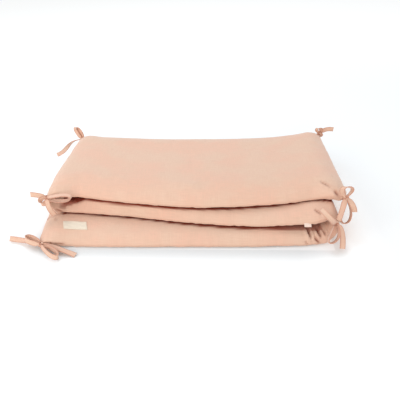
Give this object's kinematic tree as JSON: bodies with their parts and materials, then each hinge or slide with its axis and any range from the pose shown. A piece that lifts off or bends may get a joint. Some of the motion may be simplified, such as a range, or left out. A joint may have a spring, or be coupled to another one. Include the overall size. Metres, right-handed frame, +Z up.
{
  "type": "crib bumper",
  "caption": "Long padded cot bumper of washed cotton, folded back and forth into a flat stack of layers, with its fabric ties knotted into bows at the seams.",
  "frame": {"origin": "on the surface that the folded bumper lies on, under the middle of its stack", "axes": "+X along the folded layers to the right of the picture, +Y from the front edges to the back, +Z up"},
  "size_m": [0.8317, 0.4967, 0.1276],
  "materials": {
    "washed_cotton": "matt washed cotton, powdery salmon pink",
    "strap_cotton": "matt folded and stitched cotton strap, salmon pink",
    "label_cloth": "smooth cream woven tape, bare",
    "tab_cloth": "smooth pale pink-beige tape"
  },
  "bodies": {
    "root": {"bumper_pad": "washed_cotton", "label": "label_cloth", "care_tab": "tab_cloth", "tie_low_end_front": "strap_cotton", "tie_low_end_back": "strap_cotton", "tie_right_fold_front": "strap_cotton", "tie_right_fold_back": "strap_cotton", "tie_left_fold_front": "strap_cotton", "tie_left_fold_back": "strap_cotton", "tie_top_end_front": "strap_cotton", "tie_top_end_back": "strap_cotton"}
  },
  "joints": []
}
